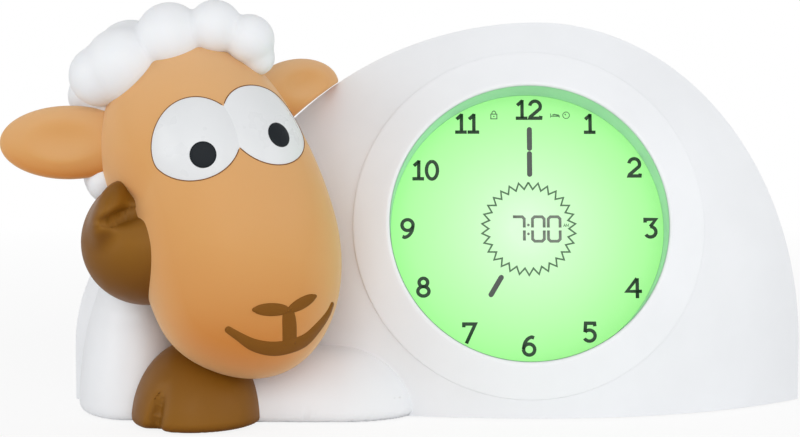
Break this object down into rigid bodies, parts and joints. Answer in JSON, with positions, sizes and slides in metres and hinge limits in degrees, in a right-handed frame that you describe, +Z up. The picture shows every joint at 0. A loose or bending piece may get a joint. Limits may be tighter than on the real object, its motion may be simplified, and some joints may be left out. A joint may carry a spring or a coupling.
{
  "type": "alarm clock",
  "caption": "Children's night-light alarm clock: a sheep lies beside a white arch with a round glowing display, battery or mains powered.",
  "frame": {"origin": "on the table, in the middle of the width, under the plane where the front and rear shells meet", "axes": "+X to the right seen from the front, +Y to the back, +Z up"},
  "size_m": [0.2462, 0.0993, 0.1259],
  "materials": {
    "shell_white": "smooth, soft gloss",
    "ring_white": "smooth, glossy",
    "sleeve_green": "translucent, satin",
    "display_window": "clear, satin",
    "display_green": "lit from behind",
    "inner_white": "plain moulding",
    "board_green": "solder mask",
    "lamp_white": "clear lens",
    "screw_steel": "zinc plated",
    "ribbon_amber": "polyimide film",
    "chip_black": "moulded",
    "socket_black": "moulded",
    "lead_red": "insulated wire",
    "button_grey": "satin",
    "slider_grey": "satin",
    "cell_jacket": "printed sleeve",
    "foot_rubber": "matt",
    "head_tan": "smooth, soft gloss",
    "wool_white": "smooth, soft gloss",
    "eye_white": "glossy",
    "pupil_black": "glossy",
    "muzzle_brown": "smooth",
    "hoof_brown": "smooth, soft gloss"
  },
  "bodies": {
    "housing": {"front_shell": "shell_white", "rear_shell": "shell_white", "dial_ring": "ring_white", "light_sleeve": "sleeve_green", "display_window": "display_window", "display_frame": "inner_white", "lcd_panel": "display_green", "diffuser_plate": "inner_white", "light_box": "inner_white", "led_board": "board_green", "leds": "lamp_white", "display_screws": "screw_steel", "lcd_ribbon": "ribbon_amber", "main_board": "board_green", "controller_chips": "chip_black", "push_switches": "chip_black", "slide_switches": "screw_steel", "board_screws": "screw_steel", "power_socket": "socket_black", "speaker": "chip_black", "speaker_clamp": "screw_steel", "speaker_lead": "lead_red", "battery_cells": "cell_jacket", "battery_springs": "screw_steel", "battery_contacts": "screw_steel", "battery_lead": "lead_red", "housing_screws": "screw_steel", "rubber_feet": "foot_rubber", "head_shell": "head_tan", "wool_cap": "wool_white", "eye_insert": "eye_white", "left_pupil": "pupil_black", "right_pupil": "pupil_black", "muzzle_inlay": "muzzle_brown", "left_ear": "head_tan", "right_ear": "head_tan", "neck_collar": "shell_white", "neck_screws": "screw_steel", "raised_foreleg": "shell_white", "raised_hoof": "hoof_brown", "lying_foreleg": "shell_white", "lying_hoof": "hoof_brown"},
    "set_button": {"set_button": "button_grey"},
    "up_button": {"up_button": "button_grey"},
    "down_button": {"down_button": "button_grey"},
    "alarm_button": {"alarm_button": "button_grey"},
    "nap_button": {"nap_button": "button_grey"},
    "light_button": {"light_button": "button_grey"},
    "alarm_slider": {"alarm_slider": "slider_grey"},
    "lock_slider": {"lock_slider": "slider_grey"},
    "battery_door": {"battery_door": "shell_white", "door_screw": "screw_steel"}
  },
  "joints": [
    {"name": "set_press", "type": "slide", "parent": "housing", "child": "set_button", "axis": [0, -1, 0], "range_m": [0, 0.0008], "stiffness_N_per_m": 900},
    {"name": "up_press", "type": "slide", "parent": "housing", "child": "up_button", "axis": [0, -1, 0], "range_m": [0, 0.0008], "stiffness_N_per_m": 900},
    {"name": "down_press", "type": "slide", "parent": "housing", "child": "down_button", "axis": [0, -1, 0], "range_m": [0, 0.0008], "stiffness_N_per_m": 900},
    {"name": "alarm_press", "type": "slide", "parent": "housing", "child": "alarm_button", "axis": [0, -1, 0], "range_m": [0, 0.0008], "stiffness_N_per_m": 900},
    {"name": "nap_press", "type": "slide", "parent": "housing", "child": "nap_button", "axis": [0, -1, 0], "range_m": [0, 0.0008], "stiffness_N_per_m": 900},
    {"name": "light_press", "type": "slide", "parent": "housing", "child": "light_button", "axis": [0, -1, 0], "range_m": [0, 0.0008], "stiffness_N_per_m": 900},
    {"name": "alarm_slide", "type": "slide", "parent": "housing", "child": "alarm_slider", "axis": [1, 0, 0], "range_m": [0, 0.004]},
    {"name": "lock_slide", "type": "slide", "parent": "housing", "child": "lock_slider", "axis": [1, 0, 0], "range_m": [0, 0.004]},
    {"name": "door_hinge", "type": "hinge", "parent": "housing", "child": "battery_door", "pos_m": [-0.055, 0.025, 0.00925], "axis": [-1, 0, 0], "range_deg": [0, 75]}
  ]
}
